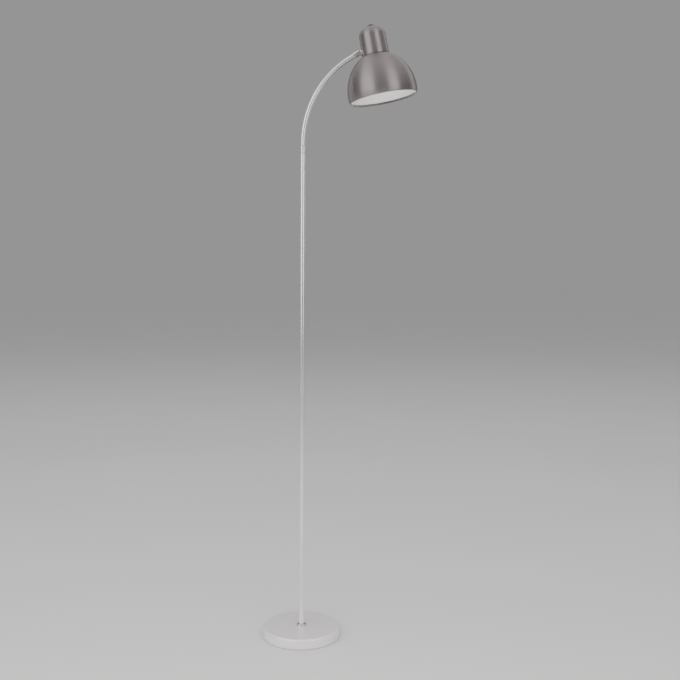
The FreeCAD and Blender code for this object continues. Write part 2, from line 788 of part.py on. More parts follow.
# --------------------------------------------------------------- head shells
def cap_shell():
    inner_radius = cap_radius - cap_wall
    inner_top = cap_top_radius - cap_wall
    inner_crown = cap_crown - cap_wall
    inner_flat = inner_top * math.sqrt(1 - ((cap_flat - cap_wall - cap_shoulder) / inner_crown) ** 2)
    hole = switch_barrel_radius + seated_fit
    cap = turned([
        line((inner_radius, cap_foot), (cap_radius, cap_foot)),
        line((cap_radius, cap_foot), (cap_top_radius, cap_shoulder)),
        ellipse_arc(cap_top_radius, cap_crown, cap_shoulder, cap_flat_radius),
        line((cap_flat_radius, cap_flat), (hole, cap_flat)),
        line((hole, cap_flat), (hole, cap_flat - cap_wall)),
        line((hole, cap_flat - cap_wall), (inner_flat, cap_flat - cap_wall)),
        ellipse_arc(inner_top, inner_crown, cap_shoulder, inner_flat),
        line((inner_top, cap_shoulder), (inner_radius, cap_foot)),
    ])
    stud_hole = ring(stud_radius + seated_fit, 0, 0, cap_radius + 1)
    return in_head(cap.cut(across(stud_hole, V(0, 0, pivot_height), V(-1, 0, 0))))


def shade_dome():
    lip_radius = (shade_lip_draw ** 2 + shade_waist ** 2) / (2 * shade_lip_draw)
    lip_centre = shade_radius - lip_radius
    rim_angle = math.asin(-shade_waist / lip_radius)
    hem_angle = math.asin((hem_height - shade_waist) / lip_radius)

    def lip(depth, angle):
        radius = lip_radius - depth
        return (lip_centre + radius * math.cos(angle), shade_waist + radius * math.sin(angle))

    hem_depth = shade_wall + hem_wall
    hem_middle = (hem_angle + rim_angle) / 2
    rim_place = lip(hem_depth / 2, rim_angle)
    rim_tip = (
        rim_place[0] + hem_depth / 2 * math.sin(rim_angle),
        rim_place[1] - hem_depth / 2 * math.cos(rim_angle),
    )
    inner_radius = shade_radius - shade_wall
    inner_rise = shade_rise - shade_wall
    inner_seat = inner_radius * math.sqrt(1 - ((shade_top - shade_wall - shade_waist) / inner_rise) ** 2)
    hole = holder_radius + seated_fit
    dome = turned([
        arc_through(lip(0, rim_angle), lip(0, rim_angle / 2), lip(0, 0)),
        ellipse_arc(shade_radius, shade_rise, shade_waist, shade_seat_radius),
        line((shade_seat_radius, shade_top), (hole, shade_top)),
        line((hole, shade_top), (hole, shade_top - shade_wall)),
        line((hole, shade_top - shade_wall), (inner_seat, shade_top - shade_wall)),
        ellipse_arc(inner_radius, inner_rise, shade_waist, inner_seat),
        arc_through(lip(shade_wall, 0), lip(shade_wall, hem_angle / 2), lip(shade_wall, hem_angle)),
        line(lip(shade_wall, hem_angle), lip(hem_depth, hem_angle)),
        arc_through(lip(hem_depth, hem_angle), lip(hem_depth, hem_middle), lip(hem_depth, rim_angle)),
        arc_through(lip(hem_depth, rim_angle), rim_tip, lip(0, rim_angle)),
    ])
    return in_head(dome)


# --------------------------------------------------------------- lampholder
def holder_bracket():
    foot = pivot_height - bracket_foot
    outside = -bracket_face
    inside = -bracket_inner_face
    bend_x = inside + bracket_inner_bend
    bend_z = holder_top - bracket_inner_bend
    profile = [
        line((outside, foot), (outside, bend_z)),
        arc((outside, bend_z), (bend_x, bend_z), (bend_x, bracket_top)),
        line((bend_x, bracket_top), (0, bracket_top)),
        line((0, bracket_top), (0, holder_top)),
        line((0, holder_top), (bend_x, holder_top)),
        arc((bend_x, holder_top), (bend_x, bend_z), (inside, bend_z)),
        line((inside, bend_z), (inside, foot)),
        line((inside, foot), (outside, foot)),
    ]
    strip = Part.Face(Part.Wire(profile)).extrude(V(0, bracket_width, 0))
    strip.translate(V(0, -bracket_width / 2, 0))
    strip = strip.fuse(ring(bracket_width / 2, 0, holder_top, bracket_top))
    strip = strip.cut(ring(nipple_radius + seated_fit, 0, holder_top, bracket_top))
    stud_hole = ring(stud_radius + seated_fit, 0, 0, cap_radius)
    return in_head(strip.cut(across(stud_hole, V(0, 0, pivot_height), V(-1, 0, 0))).removeSplitter())


def holder_nipple():
    top = bracket_top + holder_nut_height + nipple_tail
    return in_head(ring(nipple_radius, nipple_bore_radius, top - holder_nipple_length, top))


def holder_nut():
    return in_head(
        hexagon_nut(base_nut_flats, nipple_radius + thread_fit, bracket_top, bracket_top + holder_nut_height)
    )


def holder_cap():
    wall = holder_cap_wall
    straight = skirt_top + (holder_shoulder - skirt_top) * 0.3
    bore = nipple_radius + thread_fit
    cap = turned_polygon([
        (holder_cap_radius - wall, skirt_top),
        (holder_cap_radius, skirt_top),
        (holder_cap_radius, straight),
        (holder_shoulder_radius, holder_shoulder),
        (holder_cap_neck_radius, holder_shoulder),
        (holder_cap_neck_radius, holder_top),
        (bore, holder_top),
        (bore, holder_shoulder - wall),
        (holder_shoulder_radius - wall / 2, holder_shoulder - wall),
        (holder_cap_radius - wall, straight),
    ])
    lead_hole = ring(lead_radius + lead_hole_margin, 0, 0, holder_cap_radius + 1)
    cap = cap.cut(across(lead_hole, V(0, 0, lead_entry), V(-1, 0, 0)))
    for wire_place in switch_wire_places():
        hole_radius = switch_wire_radius + lead_hole_margin
        wire_hole = ring(hole_radius, 0, holder_shoulder - 2 * wall, holder_shoulder)
        wire_hole.translate(wire_place)
        cap = cap.cut(wire_hole)
    return in_head(cap)


def holder_skirt():
    bore = holder_radius - holder_wall
    skirt = ring(holder_radius, bore, skirt_foot, skirt_top)
    flange = ring(holder_flange_radius, bore, shade_top, shade_top + holder_flange_thickness)
    return in_head(skirt.fuse(flange).removeSplitter())


def contact_block():
    block = ring(holder_radius - holder_wall - seated_fit, 0, shell_top, shell_top + contact_block_height)
    recess = ring(contact_recess_radius, 0, shell_top, shell_top + contact_recess_depth)
    return in_head(block.cut(recess))


def screw_shell():
    outside = screw_shell_radius + screw_shell_wall
    lip = holder_radius - holder_wall - seated_fit
    shell = ring(outside, screw_shell_radius, shell_foot, shell_top)
    shell = shell.fuse(ring(lip, screw_shell_radius, shell_top - screw_shell_wall, shell_top))
    return in_head(shell.removeSplitter())


def centre_contact():
    leaf_foot = shell_top + contact_end_gap
    post_top = shell_top + contact_recess_depth
    start = -contact_reach / 3
    width = V(0, -contact_width / 2, 0)
    leaf = Part.makeBox(contact_reach, contact_width, contact_thickness, V(start, 0, leaf_foot) + width)
    post = Part.makeBox(
        contact_thickness, contact_width, post_top - leaf_foot,
        V(start + contact_reach - contact_thickness, 0, leaf_foot) + width,
    )
    return in_head(leaf.fuse(post).removeSplitter())


def shade_ring():
    top = shade_top - shade_wall
    nut = ring(shade_ring_radius, holder_radius + thread_fit, top - shade_ring_height, top)
    for place in around(shade_ring_notches, shade_ring_radius, 0):
        notch = ring(shade_ring_notch_radius, 0, top - shade_ring_height, top)
        notch.translate(place)
        nut = nut.cut(notch)
    return in_head(nut)


# ------------------------------------------------------------------- switch
def switch_wire_places():
    angle = math.radians(switch_wire_angle)
    x = switch_wire_circle * math.cos(angle)
    y = switch_wire_circle * math.sin(angle)
    return [V(x, -y, 0), V(x, y, 0)]


def switch_body():
    stem_hole = button_stem_radius + running_fit
    stem_floor = well_floor - button_stem_length
    body = turned_polygon([
        (0, switch_foot),
        (switch_body_radius, switch_foot),
        (switch_body_radius, switch_top),
        (switch_barrel_radius, switch_top),
        (switch_barrel_radius, bezel_top),
        (switch_well_radius, bezel_top),
        (switch_well_radius, well_floor),
        (stem_hole, well_floor),
        (stem_hole, stem_floor),
        (0, stem_floor),
    ])
    return in_head(body)


def switch_bezel():
    edge = switch_bezel_height / 2
    bore = switch_barrel_radius + thread_fit
    rim = switch_bezel_radius
    return in_head(turned([
        line((bore, cap_flat), (rim, cap_flat)),
        line((rim, cap_flat), (rim, bezel_top - edge)),
        arc((rim, bezel_top - edge), (rim - edge, bezel_top - edge), (rim - edge, bezel_top)),
        line((rim - edge, bezel_top), (bore, bezel_top)),
        line((bore, bezel_top), (bore, cap_flat)),
    ]))


def switch_button():
    rim = switch_well_radius - running_fit
    edge = button_edge_radius
    return in_head(turned([
        line((0, button_foot - button_stem_length), (button_stem_radius, button_foot - button_stem_length)),
        line((button_stem_radius, button_foot - button_stem_length), (button_stem_radius, button_foot)),
        line((button_stem_radius, button_foot), (rim, button_foot)),
        line((rim, button_foot), (rim, button_top - edge)),
        arc((rim, button_top - edge), (rim - edge, button_top - edge), (rim - edge, button_top)),
        line((rim - edge, button_top), (0, button_top)),
        line((0, button_top), (0, button_foot - button_stem_length)),
    ]))


def inner_lead_head():
    start = -pivot_reach + lead_radius + lead_pivot_gap
    bend = stud_end - lead_side
    entry_bend = lead_entry_bend
    lead = swept([
        line((start, pivot_height), (-stud_end, pivot_height)),
        arc((-stud_end, pivot_height), (-stud_end, pivot_height + bend), (-lead_side, pivot_height + bend)),
        line((-lead_side, pivot_height + bend), (-lead_side, lead_entry - entry_bend)),
        arc(
            (-lead_side, lead_entry - entry_bend),
            (-lead_side + entry_bend, lead_entry - entry_bend),
            (-lead_side + entry_bend, lead_entry),
        ),
        line((-lead_side + entry_bend, lead_entry), (-lead_side + entry_bend + lead_tail, lead_entry)),
    ], lead_radius)
    tip = Part.makeSphere(lead_radius, V(start, 0, pivot_height))
    return in_head(lead.fuse(tip).removeSplitter())


def switch_wires():
    foot = holder_shoulder - switch_wire_tail
    wires = []
    for place in switch_wire_places():
        wire = ring(switch_wire_radius, 0, foot, switch_foot)
        wire.translate(place)
        wires.append(wire)
    return in_head(Part.makeCompound(wires))


PIECES = [
    foot_pad, bottom_plate, plate_screws, base_cover, base_weight, terminal_block, terminal_screw,
    base_washer, base_nut, base_nipple, base_ferrule, cord_gland, pole_tube, pole_foot_bush, collar,
    collar_grub_screw, swivel_washer, inner_lead_stand, arm_spigot, arm_tube, arm_end_bush,
    inner_lead_arm, knuckle_barrel, knuckle_pins, knuckle_grub_screw, knuckle_stud, knuckle_washer,
    knuckle_nut, cap_shell, shade_dome, holder_bracket, holder_nipple, holder_nut, holder_cap,
    holder_skirt, contact_block, screw_shell, centre_contact, shade_ring, switch_body, switch_bezel,
    switch_button, inner_lead_head, switch_wires,
]

os.makedirs("parts", exist_ok=True)
for piece in PIECES:
    piece().exportStep("parts/" + piece.__name__ + ".step")

tilt_axis = V(0, -1, 0)
button_axis = FreeCAD.Rotation(V(0, 1, 0), -head_tilt).multVec(V(0, 0, -1))
print("arm swivel at", V(0, 0, collar_top), "about +Z")
print("head turn at", pivot, "about", arm_direction)
print("head tilt at", pivot, "about", tilt_axis)
print("button slides along", button_axis)
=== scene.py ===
import math

import bmesh
import bpy
from mathutils import Matrix, Vector


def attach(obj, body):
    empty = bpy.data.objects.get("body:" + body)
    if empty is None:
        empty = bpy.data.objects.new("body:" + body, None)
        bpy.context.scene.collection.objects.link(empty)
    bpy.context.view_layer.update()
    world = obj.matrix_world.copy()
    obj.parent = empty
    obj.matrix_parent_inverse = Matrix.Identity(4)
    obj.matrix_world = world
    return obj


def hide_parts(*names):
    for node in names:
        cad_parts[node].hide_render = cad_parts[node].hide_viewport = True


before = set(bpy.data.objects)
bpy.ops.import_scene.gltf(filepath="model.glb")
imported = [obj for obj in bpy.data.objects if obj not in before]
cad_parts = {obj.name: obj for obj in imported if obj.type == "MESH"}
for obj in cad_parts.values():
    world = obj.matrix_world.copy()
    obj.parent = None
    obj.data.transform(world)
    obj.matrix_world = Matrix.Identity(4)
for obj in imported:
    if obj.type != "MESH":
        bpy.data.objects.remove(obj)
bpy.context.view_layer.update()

# A floor reading lamp: round weighted base, slim pole, bent swivel arm, and a
# spun bell shade under a tall cap. The shapes and finishes are given in
# millimetres, the studio in metres.

# --------------------------------------------------------------- the lamp's sizes
BASE_RADIUS = 100.0
BASE_TOP = 25.0
BASE_EDGE = 5.0
BASE_FOOT = 1.0
BASE_HOLE = 5.0
COVER_WALL = 1.2
POLE_RADIUS = 7.0
POLE_WALL = 1.2
POLE_FOOT = 26.5
POLE_TOP = 1246.5
FERRULE_RADIUS = 12.5
FERRULE_TOP = 29.6
COLLAR_TOP = 1266.5
COLLAR_RADIUS = 7.6
COLLAR_BORE = 5.05
COLLAR_SPIGOT = 5.75
COLLAR_SPIGOT_LENGTH = 18.0
COLLAR_LEAD_HOLE = 2.5
GRUB_HEIGHT = 1262.3
ARM_RADIUS = 6.25
ARM_WALL = 1.0
ARM_FOOT = 1267.35
ARM_RISER = 6.0
ARM_BEND_RADIUS = 252.0
ARM_BEND = 58.5   # degrees
ARM_END = 8.0
ARM_EDGE = 0.2
HEAD_TILT = 10.8   # degrees
SHADE_RIM = Vector((204.12925, 0.0, 1386.08825))   # middle of the rim's plane
SHADE_RADIUS = 88.6
SHADE_WAIST = 15.5
SHADE_RISE = 103.0
SHADE_LIP = 2.8
SHADE_SEAT = 30.0
SHADE_TOP = 112.4158
SHADE_WALL = 1.0
HEM_WALL = 0.9
HEM_FOOT = 0.9
HEM_HEIGHT = 6.0
HEM_STEP = 0.2
CAP_RADIUS = 35.0
CAP_TOP_RADIUS = 33.6
CAP_FOOT = 111.0141
CAP_SHOULDER = 160.5141
CAP_CROWN = 24.5
CAP_FLAT = 183.342
CAP_FLAT_RADIUS = 12.2
CAP_WALL = 1.0
HOLDER_RADIUS = 20.0
HOLDER_BORE = 17.0
HOLDER_FOOT = 96.4158
HOLDER_TOP = 130.4158
HOLDER_FLANGE = 26.0
HOLDER_FLANGE_THICKNESS = 3.0
HOLDER_THREAD_PITCH = 2.6
HOLDER_THREAD_DEPTH = 0.7
SHELL_TOP = 123.9158
SHELL_RADIUS = 13.7
SHELL_RIM = 16.9
SHELL_WALL = 0.4
SHELL_THREAD_PITCH = 3.62
SHELL_THREAD_DEPTH = 1.1
BEZEL_RADIUS = 11.6
BEZEL_BORE = 8.03
BEZEL_TOP = 185.142
BEZEL_RIBS = 36
BEZEL_RIB_DEPTH = 0.28
BUTTON_RADIUS = 6.55
BUTTON_FOOT = 181.842
BUTTON_TOP = 187.842
BUTTON_STEM = 2.5
BUTTON_STEM_FOOT = 176.342
BUTTON_DISH_RADIUS = BUTTON_RADIUS * 0.74
BUTTON_DISH_DEPTH = 0.55

ON_AXIS = 0.0005   # a ring no wider than this is a single point
UPRIGHT = Matrix.Identity(4)
HEAD = Matrix.Translation(SHADE_RIM / 1000) @ Matrix.Rotation(math.radians(-HEAD_TILT), 4, "Y")


# ------------------------------------------------------------------ skin makers
def skin(name, rows, girth, steps, loop=False, bands=None):
    """A smooth skin over rows of places. Its grain map runs round and along it, in metres."""
    mesh = bmesh.new()
    grain = mesh.loops.layers.uv.new("grain")
    rings = [[mesh.verts.new(place) for place in row] for row in rows]
    along = [0.0]
    for step in steps:
        along.append(along[-1] + step)
    around = max(len(row) for row in rows)
    for i in range(len(rows) if loop else len(rows) - 1):
        low = rings[i]
        high = rings[(i + 1) % len(rows)]
        for j in range(around):
            corners = {}
            for ring, level, step in ((low, i, j), (low, i, j + 1), (high, i + 1, j + 1), (high, i + 1, j)):
                corners.setdefault(ring[step % len(ring)], (step * girth / around, along[level]))
            if len(corners) < 3:
                continue
            face = mesh.faces.new(list(corners))
            face.smooth = True
            face.material_index = bands[i] if bands else 0
            for corner in face.loops:
                corner[grain].uv = corners[corner.vert]
    bmesh.ops.recalc_face_normals(mesh, faces=mesh.faces)
    data = bpy.data.meshes.new(name)
    mesh.to_mesh(data)
    mesh.free()
    data.set_sharp_from_angle(angle=math.radians(40))
    piece = bpy.data.objects.new(name, data)
    bpy.context.scene.collection.objects.link(piece)
    return piece


def turned(name, outline, around=192, loop=True, relief=None, bands=None):
    """A turned, spun or moulded round piece, from its outline of (radius, height)."""
    rows = []
    for radius, height in outline:
        row = []
        for j in range(around if radius > ON_AXIS else 1):
            angle = 2 * math.pi * j / around + math.pi / 2
            reach = radius + (relief(radius, height, angle) if relief else 0.0)
            row.append(Vector((reach * math.cos(angle), reach * math.sin(angle), height)) / 1000)
        rows.append(row)
    closed = outline + outline[:1] if loop else outline
    steps = [math.dist(a, b) / 1000 for a, b in zip(closed, closed[1:])]
    girth = 2 * math.pi * max(radius for radius, height in outline) / 1000
    return skin(name, rows, girth, steps, loop, bands)


def rounded(corners, steps=6, loop=True):
    """An outline with its corners rounded, from corners of (radius, height, rounding)."""
    places = []
    for i, (radius, height, rounding) in enumerate(corners):
        here = Vector((radius, height))
        if rounding == 0 or (not loop and i in (0, len(corners) - 1)):
            places.append((radius, height))
            continue
        before = (Vector(corners[i - 1][:2]) - here).normalized()
        after = (Vector(corners[(i + 1) % len(corners)][:2]) - here).normalized()
        half = before.angle(after) / 2
        centre = here + (before + after).normalized() * rounding / math.sin(half)
        first = here + before * rounding / math.tan(half) - centre
        last = here + after * rounding / math.tan(half) - centre
        for k in range(steps + 1):
            spoke = first.lerp(last, k / steps).normalized() * rounding
            places.append(tuple(centre + spoke))
    return places


def quarter_ellipse(half_width, half_height, foot, near_radius, count):
    """Places on an ellipse about the lamp head's axis, from its waist in to a radius."""
    end = math.acos(near_radius / half_width)
    return [
        (half_width * math.cos(end * k / count), foot + half_height * math.sin(end * k / count))
        for k in range(count + 1)
    ]


def thread(height, angle, pitch, depth):
    """How far a round screw thread lies from its crest, which is 0, at a height and an angle."""
    turns = height / pitch - angle / (2 * math.pi)
    return -depth / 2 + depth / 2 * math.cos(2 * math.pi * turns)


def fit(piece, body, *nodes, where=UPRIGHT, finishes=()):
    """Sets a piece in its place on the lamp, with its finishes, on the body that carries it."""
    piece.matrix_world = where
    for finish in finishes:
        piece.data.materials.append(finish)
    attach(piece, body)
    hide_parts(*nodes)


# --------------------------------------------------------------- finish makers
def linear(hex_colour):
    """An sRGB hex colour as linear light."""
    levels = [int(hex_colour[i:i + 2], 16) / 255 for i in (1, 3, 5)]
    return [v / 12.92 if v <= 0.04045 else ((v + 0.055) / 1.055) ** 2.4 for v in levels] + [1.0]


def per_mm(size):
    """Pattern scale for features of a size in millimetres, on coordinates in metres."""
    return 1000.0 / size


def add(finish, kind, sockets=None, **settings):
    """Adds a node to a finish, with its settings, and its sockets set or linked."""
    node = finish.node_tree.nodes.new(kind)
    for name, value in settings.items():
        setattr(node, name, value)
    for socket, value in (sockets or {}).items():
        if isinstance(value, bpy.types.NodeSocket):
            finish.node_tree.links.new(value, node.inputs[socket])
        else:
            node.inputs[socket].default_value = value
    return node


def new_finish(name):
    """An empty finish, and the place on the piece that its patterns go by."""
    finish = bpy.data.materials.new(name)
    finish.use_nodes = True
    finish.node_tree.nodes.clear()
    return finish, add(finish, "ShaderNodeTexCoord").outputs["Object"]


def surface(finish, sockets):
    """Ends a finish: its surface, and the output it goes to."""
    shader = add(finish, "ShaderNodeBsdfPrincipled", sockets)
    add(finish, "ShaderNodeOutputMaterial", {"Surface": shader.outputs[0]})
    return finish


def noise(finish, place, size, detail, roughness=0.5):
    """A cloudy pattern with features of a size."""
    return add(finish, "ShaderNodeTexNoise", {
        "Vector": place, "Scale": per_mm(size), "Detail": detail, "Roughness": roughness}).outputs[0]


def cells(finish, place, size, output):
    """A pattern of cells of a size, as each one's colour or the distance from its middle."""
    return add(finish, "ShaderNodeTexVoronoi", {"Vector": place, "Scale": per_mm(size)}).outputs[output]


def blend(finish, share, first, second):
    """A colour between two, each of them a hex colour or another node's."""
    ends = [linear(end) if isinstance(end, str) else end for end in (first, second)]
    return add(finish, "ShaderNodeMix", {0: share, 6: ends[0], 7: ends[1]}, data_type="RGBA").outputs[2]


def spread(finish, pattern, low, high, least, most):
    """A pattern's levels from low to high, stretched to run from least to most."""
    return add(finish, "ShaderNodeMapRange", {0: pattern, 1: low, 2: high, 3: least, 4: most}).outputs[0]


def total(finish, first, second):
    """The sum of two values."""
    return add(finish, "ShaderNodeMath", {0: first, 1: second}, operation="ADD").outputs[0]


def bump(finish, height, strength, depth, over=None):
    """Relief from a pattern, as deep as its dark and light lie apart, over another relief."""
    sockets = {"Height": height, "Strength": strength, "Distance": depth / 1000}
    if over:
        sockets["Normal"] = over
    return add(finish, "ShaderNodeBump", sockets).outputs[0]


def soft_edges(finish, radius, samples=4):
    """Edges that take the light as if rounded to a radius."""
    return add(finish, "ShaderNodeBevel", {"Radius": radius / 1000}, samples=samples).outputs[0]


def lengthwise(finish):
    """How far along a skin's grain a place lies, in metres."""
    run = add(finish, "ShaderNodeUVMap", uv_map="grain")
    return add(finish, "ShaderNodeSeparateXYZ", {0: run.outputs[0]}).outputs[1]


def brushed_metal(finish, colour, roughness, relief, streaking):
    """Ends a finish of metal brushed round and round, which draws its lights out into streaks."""
    round_way = add(finish, "ShaderNodeTangent", direction_type="UV_MAP", uv_map="grain")
    return surface(finish, {
        "Base Color": colour, "Metallic": 1.0, "Roughness": roughness, "Anisotropic": streaking,
        "Anisotropic Rotation": 0.25, "Normal": relief, "Tangent": round_way.outputs[0]})


# ------------------------------------------------------------------- finishes
def spun_nickel():
    """Steel spun on a chuck, brushed round with an abrasive pad, nickel plated and lacquered:
    a warm grey with fine rings, and lights drawn out into streaks across the rings."""
    finish, place = new_finish("spun_brushed_nickel")
    along = lengthwise(finish)
    flat = add(finish, "ShaderNodeSeparateXYZ", {0: place})

    def marks_round(length, width, detail, roughness=0.5):
        squeezed = add(finish, "ShaderNodeMath", {0: along, 1: length / width}, operation="MULTIPLY")
        mark_place = add(finish, "ShaderNodeCombineXYZ", {
            0: flat.outputs[0], 1: flat.outputs[1], 2: squeezed.outputs[0]})
        return noise(finish, mark_place.outputs[0], length, detail, roughness)

    # Pad scratches are about 0.1 mm wide and 40 mm long; drawn 0.9 mm wide so that they show.
    scratches = marks_round(40, 0.9, 4.0, 0.65)
    # Spinning marks: broad shallow rings some 7 mm apart left by the roller.
    rings = marks_round(90, 7.0, 1.0)
    # Handling marks in the lacquer, a few centimetres across.
    cloud = noise(finish, place, 38, 3.0, 0.55)
    tone = blend(finish, scratches, "#8A8383", "#A8A1A1")
    colour = blend(finish, spread(finish, cloud, 0.35, 0.7, 0.0, 0.22), tone, "#A1948F")
    rough_scratches = spread(finish, scratches, 0.3, 0.7, 0.38, 0.46)
    roughness = total(finish, rough_scratches, spread(finish, cloud, 0.3, 0.7, -0.02, 0.03))
    relief = bump(finish, rings, 0.25, 0.4, over=bump(finish, scratches, 0.1, 0.05))
    return brushed_metal(finish, colour, roughness, relief, streaking=0.85)


def white_shade_lining():
    """White stove enamel sprayed inside the shade: an even, slightly warm white with a soft
    sheen and the faint ripple of a sprayed coat."""
    finish, place = new_finish("white_stove_enamel")
    peel = noise(finish, place, 2.2, 2.0)
    drift = noise(finish, place, 45, 2.0)
    return surface(finish, {
        "Base Color": blend(finish, drift, "#F5F4F2", "#FBFAF8"),
        "Roughness": spread(finish, drift, 0.3, 0.7, 0.32, 0.42),
        "IOR": 1.5, "Coat Weight": 0.25, "Coat Roughness": 0.12, "Normal": bump(finish, peel, 0.25, 0.08)})


def satin_nickel_tube():
    """Drawn steel tube, belt polished round and round while it turned, then nickel plated:
    bright and pale, with two long clean lights down its length."""
    finish, place = new_finish("satin_nickel_tube")
    along = lengthwise(finish)
    # Belt marks are about 0.05 mm apart; drawn 1.4 mm apart so that they show.
    belt_place = add(finish, "ShaderNodeCombineXYZ", {2: along})
    belt = noise(finish, belt_place.outputs[0], 1.4, 3.0, 0.6)
    # Slow changes of gloss along the tube, a hand's breadth apart, where the belt lingered.
    pass_place = add(finish, "ShaderNodeCombineXYZ", {0: along})
    passes = noise(finish, pass_place.outputs[0], 110, 2.0)
    specks = noise(finish, place, 3.5, 5.0, 0.7)
    rough_belt = spread(finish, belt, 0.3, 0.7, 0.235, 0.255)
    rough_passes = total(finish, rough_belt, spread(finish, passes, 0.3, 0.7, -0.02, 0.05))
    roughness = total(finish, rough_passes, spread(finish, specks, 0.55, 0.8, 0.0, 0.02))
    colour = blend(finish, belt, "#F5F5F4", "#FAFAF9")
    return brushed_metal(finish, colour, roughness, bump(finish, belt, 0.02, 0.03), streaking=0.6)


def polished_nickel():
    """Turned brass, buffed and nickel plated: near a mirror, a shade warmer than chrome, with faint
    turning rings and its corners broken by the buffing wheel."""
    finish, place = new_finish("polished_nickel_plate")
    # Turning rings about 0.2 mm apart, drawn 0.5 mm apart.
    squeeze = add(finish, "ShaderNodeMapping", {"Vector": place, "Scale": (0.06, 0.06, 1.0)})
    rings = noise(finish, squeeze.outputs[0], 0.5, 2.0)
    haze = noise(finish, place, 6, 4.0)
    return surface(finish, {
        "Base Color": blend(finish, haze, "#E9E5DF", "#F5F2EC"),
        "Metallic": 1.0, "Roughness": spread(finish, haze, 0.3, 0.75, 0.14, 0.2),
        "Normal": bump(finish, rings, 0.15, 0.02, over=soft_edges(finish, 0.5, samples=6))})


def silver_enamel():
    """Stove enamel with fine aluminium flake on pressed steel: an even pale grey, faintly
    pink, that takes a blurred reflection of the pole in its clear top coat."""
    finish, place = new_finish("silver_stove_enamel")
    # Flakes are about 0.03 mm; drawn 0.8 mm, each cell lighter or darker at random: the flakes' own tone
    # plus a painted glint standing in for their sparkle.
    flakes = add(finish, "ShaderNodeSeparateColor", {0: cells(finish, place, 0.8, "Color")})
    peel = noise(finish, place, 2.5, 2.0)
    drift = noise(finish, place, 70, 3.0)
    # Painted glint: flake cells made lighter or darker in colour, standing in for the flakes' sparkle.
    flake_tone_and_painted_glint = blend(finish, flakes.outputs[0], "#E9E2E4", "#F5EFF0")
    return surface(finish, {
        "Base Color": blend(finish, spread(finish, drift, 0.35, 0.7, 0.0, 0.25), flake_tone_and_painted_glint, "#E5DFDD"),
        "Metallic": 0.42, "Roughness": spread(finish, drift, 0.3, 0.7, 0.36, 0.44),
        "Coat Weight": 0.7, "Coat Roughness": 0.16, "Normal": bump(finish, peel, 0.2, 0.06)})


def zinc_plate():
    """Pressed steel, zinc plated and passivated: dull silver with a faint blue and straw
    bloom and fine rolling lines."""
    finish, place = new_finish("zinc_plated_steel")
    bloom = noise(finish, place, 14, 3.0)
    lines = add(finish, "ShaderNodeMapping", {"Vector": place, "Scale": (1.0, 0.04, 1.0)})
    rolling = noise(finish, lines.outputs[0], 0.7, 3.0)
    colour = add(finish, "ShaderNodeValToRGB", {0: bloom})
    blue, straw = colour.color_ramp.elements
    blue.position = 0.35
    blue.color = linear("#AEB4BA")
    straw.position = 0.68
    straw.color = linear("#C4BFAE")
    return surface(finish, {
        "Base Color": colour.outputs[0],
        "Metallic": 1.0, "Roughness": spread(finish, rolling, 0.3, 0.7, 0.3, 0.46),
        "Normal": bump(finish, rolling, 0.2, 0.03, over=soft_edges(finish, 0.3))})


def sand_cast_iron():
    """Grey iron cast in sand, only brushed off: dark, rough and pitted, rusting a little."""
    finish, place = new_finish("sand_cast_iron")
    sand = noise(finish, place, 1.2, 6.0, 0.7)
    rust = spread(finish, noise(finish, place, 22, 5.0), 0.55, 0.72, 0.0, 0.6)
    return surface(finish, {
        "Base Color": blend(finish, rust, "#3B3A3A", "#5E3B28"),
        "Metallic": 0.5, "Roughness": 0.72, "Normal": bump(finish, sand, 0.7, 0.3)})


def turned_brass():
    """Free-cutting brass from the lathe: yellow, bright on the tool marks, browner between."""
    finish, place = new_finish("turned_brass")
    cut = noise(finish, place, 0.9, 4.0, 0.6)
    tarnish = noise(finish, place, 9, 4.0)
    return surface(finish, {
        "Base Color": blend(finish, tarnish, "#D9B870", "#B68D4A"),
        "Metallic": 1.0, "Roughness": spread(finish, cut, 0.3, 0.7, 0.2, 0.36),
        "Normal": bump(finish, cut, 0.2, 0.03, over=soft_edges(finish, 0.2))})


def moulded_plastic(name, dark, light, roughness, gloss_change, grit, depth, edge_radius, index):
    """A moulded part: its tool's fine grit on the faces, corners softened by the moulding,
    and a slow change of gloss where it shrank."""
    finish, place = new_finish(name)
    spark = noise(finish, place, grit, 3.0, 0.6)
    shrink = noise(finish, place, 12, 2.0)
    return surface(finish, {
        "Base Color": blend(finish, shrink, dark, light), "IOR": index,
        "Roughness": spread(finish, shrink, 0.3, 0.7, roughness - gloss_change, roughness + gloss_change),
        "Normal": bump(finish, spark, 0.3, depth, over=soft_edges(finish, edge_radius))})


def glazed_porcelain():
    """Slip-cast steatite, glazed and fired: a creamy white under a clear wet-looking glaze."""
    finish, place = new_finish("glazed_porcelain")
    body = noise(finish, place, 4, 4.0)
    return surface(finish, {
        "Base Color": blend(finish, body, "#E9E3D6", "#F3EFE6"), "Roughness": 0.38, "IOR": 1.55,
        "Coat Weight": 0.8, "Coat Roughness": 0.06, "Normal": bump(finish, body, 0.2, 0.1)})


def cut_foam():
    """Closed-cell EVA foam, die cut from sheet: a dull dark grey full of pin-head cells."""
    finish, place = new_finish("die_cut_eva_foam")
    # Cells are about 0.4 mm; drawn 0.9 mm so that they show.
    pores = cells(finish, place, 0.9, "Distance")
    dust = noise(finish, place, 18, 4.0)
    return surface(finish, {
        "Base Color": blend(finish, dust, "#232326", "#39383A"), "Roughness": 0.92, "IOR": 1.48,
        "Normal": bump(finish, pores, 0.6, 0.3)})


def floor_plaster():
    """The studio floor: pale, matt and plain."""
    finish, place = new_finish("studio_floor")
    cloud = noise(finish, place, 600, 3.0)
    return surface(finish, {"Base Color": blend(finish, cloud, "#C3C2C1", "#C9C8C7"), "Roughness": 0.85})


